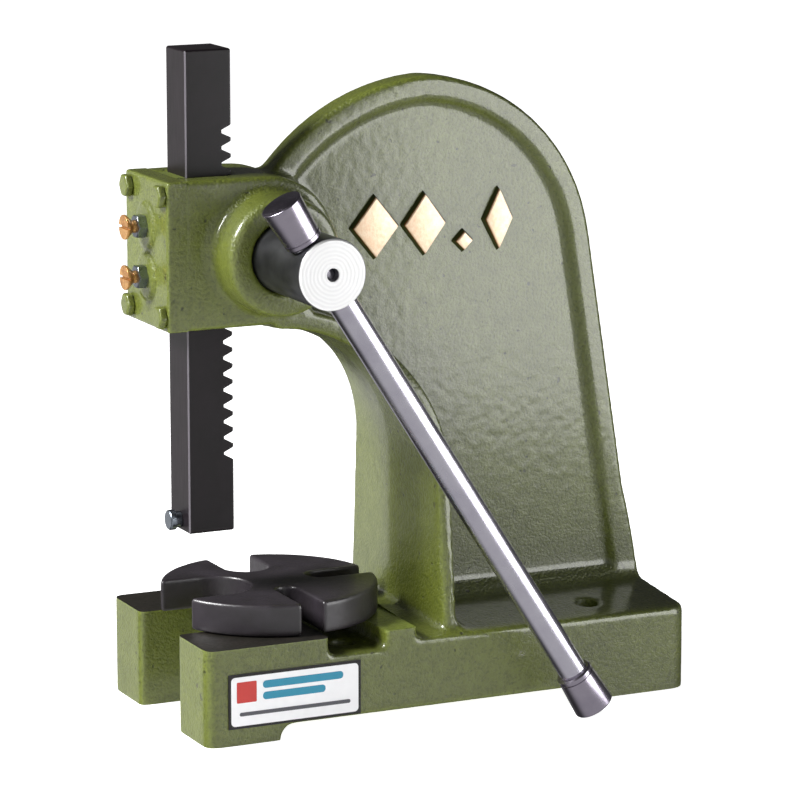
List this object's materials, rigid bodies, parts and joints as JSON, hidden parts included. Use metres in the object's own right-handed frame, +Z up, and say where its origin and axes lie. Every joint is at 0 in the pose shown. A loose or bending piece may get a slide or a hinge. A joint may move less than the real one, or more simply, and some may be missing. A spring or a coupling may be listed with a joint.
{
  "type": "arbor press",
  "caption": "Bench arbor press: green cast frame, square toothed ram driven by a pinion shaft with a sliding cross lever, and a slotted round work table that turns in the base.",
  "frame": {"origin": "on the ram's axis, in the plane of the base's feet", "axes": "+Z up along the ram, +X to the lever's side, +Y from the ram back towards the column"},
  "size_m": [0.1732, 0.296, 0.3504],
  "materials": {
    "green_enamel": "gloss, hammered",
    "dark_steel": "satin, blackened",
    "shaft_steel": "ground",
    "dark_iron": "satin, machined rim",
    "chrome": "polished",
    "zinc": "zinc plated",
    "brass": "worn",
    "label": "printed film"
  },
  "bodies": {
    "stand": {"frame": "green_enamel", "front_cover": "green_enamel", "cover_bolts": "green_enamel", "gib_strip": "dark_steel", "name_plate": "label"},
    "ram": {"ram": "dark_steel"},
    "clamp_screw": {"clamp_screw": "zinc"},
    "pinion": {"pinion_shaft": "shaft_steel", "thrust_washer": "zinc", "spring_washer": "zinc", "keeper_bolt": "zinc"},
    "lever": {"lever_bar": "chrome", "lever_knob_upper": "chrome", "lever_knob_lower": "chrome"},
    "table": {"table_plate": "dark_iron", "table_pin": "shaft_steel"},
    "adjusting_screw_upper": {"adjusting_screw_upper": "brass"},
    "adjusting_screw_lower": {"adjusting_screw_lower": "brass"},
    "lock_nut_upper": {"lock_nut_upper": "zinc"},
    "lock_nut_lower": {"lock_nut_lower": "zinc"}
  },
  "joints": [
    {"name": "pinion_turn", "type": "hinge", "parent": "stand", "child": "pinion", "pos_m": [0, 0.026, 0.2475], "axis": [1, 0, 0], "range_deg": [-349, 110]},
    {"name": "ram_slide", "type": "slide", "parent": "stand", "child": "ram", "axis": [0, 0, 1], "range_m": [-0.031, 0.0978]},
    {"name": "lever_slide", "type": "slide", "parent": "pinion", "child": "lever", "axis": [0, -0.5402, 0.8415], "range_m": [0, 0.2444]},
    {"name": "table_turn", "type": "hinge", "parent": "stand", "child": "table", "pos_m": [0, 0.0375, 0.0512], "axis": [0, 0, 1], "continuous": true},
    {"name": "clamp_screw_turn", "type": "hinge", "parent": "ram", "child": "clamp_screw", "pos_m": [0, -0.0127, 0.1055], "axis": [0, -1, 0], "range_deg": [-180, 180]},
    {"name": "adjusting_screw_upper_turn", "type": "hinge", "parent": "stand", "child": "adjusting_screw_upper", "pos_m": [0, -0.0294, 0.2605], "axis": [0, -1, 0], "range_deg": [-180, 180]},
    {"name": "lock_nut_upper_turn", "type": "hinge", "parent": "stand", "child": "lock_nut_upper", "pos_m": [0, -0.0309, 0.2605], "axis": [0, -1, 0], "range_deg": [-180, 180]},
    {"name": "adjusting_screw_lower_turn", "type": "hinge", "parent": "stand", "child": "adjusting_screw_lower", "pos_m": [0, -0.0294, 0.2345], "axis": [0, -1, 0], "range_deg": [-180, 180]},
    {"name": "lock_nut_lower_turn", "type": "hinge", "parent": "stand", "child": "lock_nut_lower", "pos_m": [0, -0.0309, 0.2345], "axis": [0, -1, 0], "range_deg": [-180, 180]}
  ],
  "couplings": [
    {"joint": "ram_slide", "follows": "pinion_turn", "m_per_rad": -0.016}
  ]
}
